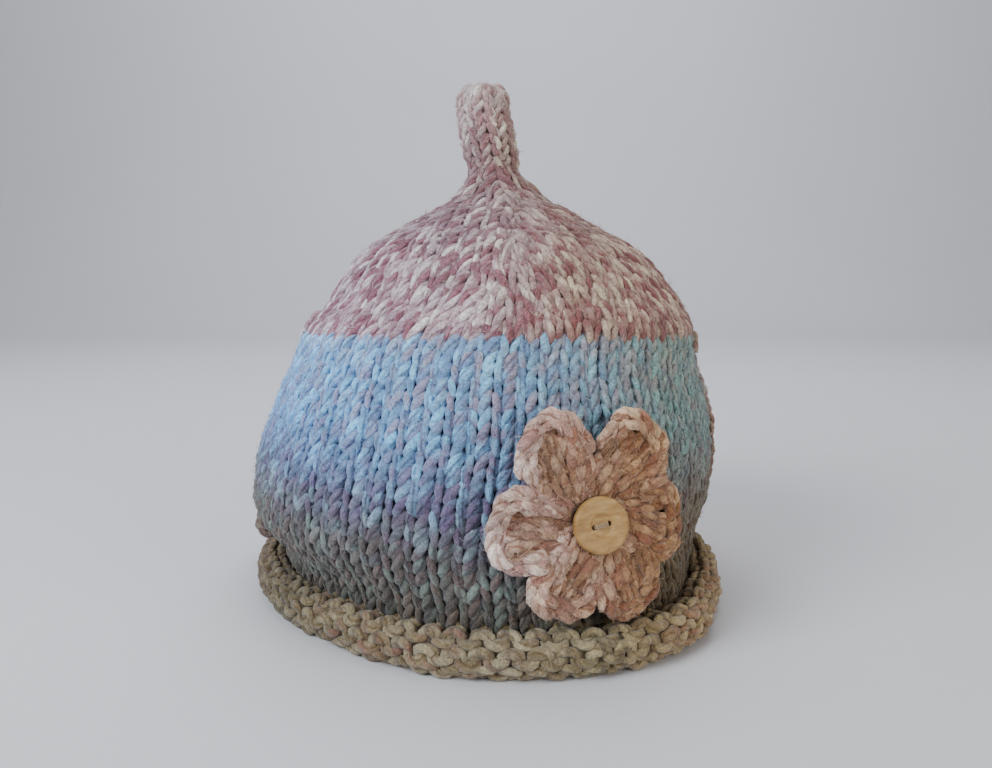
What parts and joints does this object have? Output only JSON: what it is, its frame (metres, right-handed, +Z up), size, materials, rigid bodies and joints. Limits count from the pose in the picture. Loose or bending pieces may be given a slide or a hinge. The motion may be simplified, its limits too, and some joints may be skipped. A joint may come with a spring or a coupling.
{
  "type": "tea cosy",
  "caption": "Chunky hand-knitted tea cosy, open underneath, with side slits, a rolled hem, a knitted stalk, a crocheted flower and a wooden button.",
  "frame": {"origin": "the middle of the base of the whole object's box, on the surface that the hem rests on", "axes": "+Z up along the stalk; the flower is on the front, towards -Y; +X is to the right seen from the front; the slits are near +X and -X"},
  "size_m": [0.19, 0.1956, 0.1988],
  "materials": {
    "knitted_yarn": "matte, slightly fuzzy two-ply marled yarn, self-striping",
    "crochet_yarn": "matte, slightly fuzzy two-ply marled yarn",
    "button_wood": "bare pale wood, sanded smooth"
  },
  "bodies": {
    "root": {"cosy": "knitted_yarn", "crochet_flower": "crochet_yarn", "button": "button_wood"}
  },
  "joints": []
}
